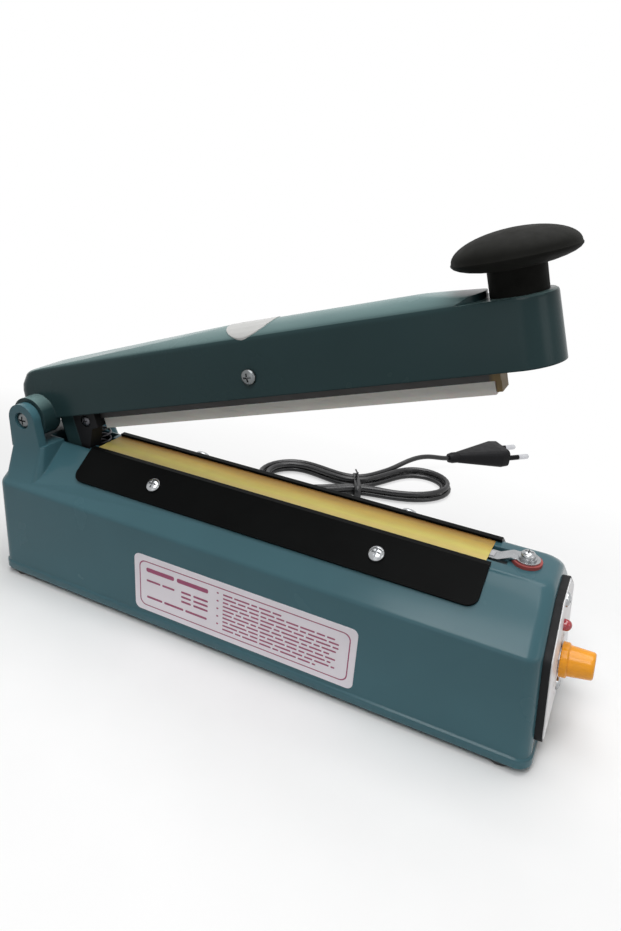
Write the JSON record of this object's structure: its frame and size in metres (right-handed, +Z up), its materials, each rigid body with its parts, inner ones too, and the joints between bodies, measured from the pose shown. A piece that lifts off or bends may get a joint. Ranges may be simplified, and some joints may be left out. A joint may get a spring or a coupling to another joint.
{
  "type": "impulse sealer",
  "caption": "Hand impulse bag sealer: teal cast casing with heater strip and timer knob, and a hinged press arm with a mushroom knob; mains cord tied in a hank.",
  "frame": {"origin": "on the surface that the feet stand on, below the middle of the object without its cord", "axes": "+X towards the timer end, +Z up, so -Y is the long side with the rating label"},
  "size_m": [0.3005, 0.3264, 0.2028],
  "materials": {
    "teal_enamel": "semi-gloss",
    "black_plastic": "matte",
    "black_enamel": "gloss",
    "rubber": "matte",
    "zinc_sheet": "satin",
    "bright_steel": "polished",
    "dark_steel": "satin",
    "silver_face": "satin",
    "red_lens": "gloss",
    "orange_plastic": "gloss",
    "circuit_board": "satin",
    "iron_core": "matte",
    "copper_winding": "satin",
    "fibre": "matte",
    "brown_laminate": "matte",
    "heater_alloy": "satin",
    "sealing_cloth": "satin",
    "silicone": "matte",
    "white_label": "satin",
    "cord_sheath": "gloss"
  },
  "bodies": {
    "base": {"base_casing": "teal_enamel", "bottom_plate": "zinc_sheet", "rubber_feet": "rubber", "bottom_screws": "bright_steel", "end_panel": "black_plastic", "panel_face": "silver_face", "panel_screws": "bright_steel", "indicator_lamp": "red_lens", "lamp_holder": "black_plastic", "potentiometer": "zinc_sheet", "potentiometer_nut": "bright_steel", "timer_board": "circuit_board", "board_parts": "black_plastic", "transformer_core": "iron_core", "transformer_coil": "copper_winding", "transformer_clamp": "zinc_sheet", "transformer_screws": "bright_steel", "switch_body": "black_plastic", "switch_bracket": "zinc_sheet", "switch_screws": "bright_steel", "bracket_screws": "bright_steel", "return_spring": "bright_steel", "heater_bar": "brown_laminate", "heater_ribbon": "heater_alloy", "sealing_cloth": "sealing_cloth", "front_clamp_plate": "black_enamel", "rear_clamp_plate": "black_enamel", "clamp_screws": "bright_steel", "front_terminal": "bright_steel", "rear_terminal": "bright_steel", "fibre_washers": "fibre", "terminal_screws": "bright_steel", "hinge_screws": "bright_steel", "rating_label": "white_label", "strain_relief": "rubber", "cord_lead": "cord_sheath", "cord_hank": "cord_sheath", "cord_tail": "cord_sheath", "hank_tie": "black_plastic", "plug_body": "black_plastic", "plug_pins": "bright_steel"},
    "arm": {"arm_casting": "teal_enamel", "press_knob": "black_plastic", "knob_screw": "bright_steel", "strip_holder": "brown_laminate", "silicone_strip": "silicone", "cross_screw": "bright_steel", "cross_nut": "bright_steel", "switch_trigger": "black_plastic", "trigger_screw": "dark_steel", "round_sticker": "white_label"},
    "timer": {"timer_knob": "orange_plastic", "timer_shaft": "zinc_sheet"},
    "lever": {"switch_lever": "zinc_sheet"},
    "plunger": {"switch_plunger": "red_lens"}
  },
  "joints": [
    {"name": "arm_hinge", "type": "hinge", "parent": "base", "child": "arm", "pos_m": [-0.13455, 0, 0.0862], "axis": [0, 1, 0], "range_deg": [0, 17], "stiffness_Nm_per_rad": 1.5, "springref_deg": -57.3, "deforming": ["return_spring"]},
    {"name": "timer_turn", "type": "hinge", "parent": "base", "child": "timer", "pos_m": [0.13242, 0, 0.03184], "axis": [0.9945, 0, 0.1045], "range_deg": [-140, 140]},
    {"name": "lever_pivot", "type": "hinge", "parent": "base", "child": "lever", "pos_m": [-0.13255, 0, 0.0615], "axis": [0, 1, 0], "range_deg": [0, 16.5]},
    {"name": "plunger_slide", "type": "slide", "parent": "base", "child": "plunger", "axis": [0, 0, 1], "range_m": [-0.0012, 0]}
  ],
  "couplings": [
    {"joint": "lever_pivot", "follows": "arm_hinge", "ratio": 0.9253},
    {"joint": "plunger_slide", "follows": "arm_hinge", "m_per_rad": -0.003033}
  ]
}
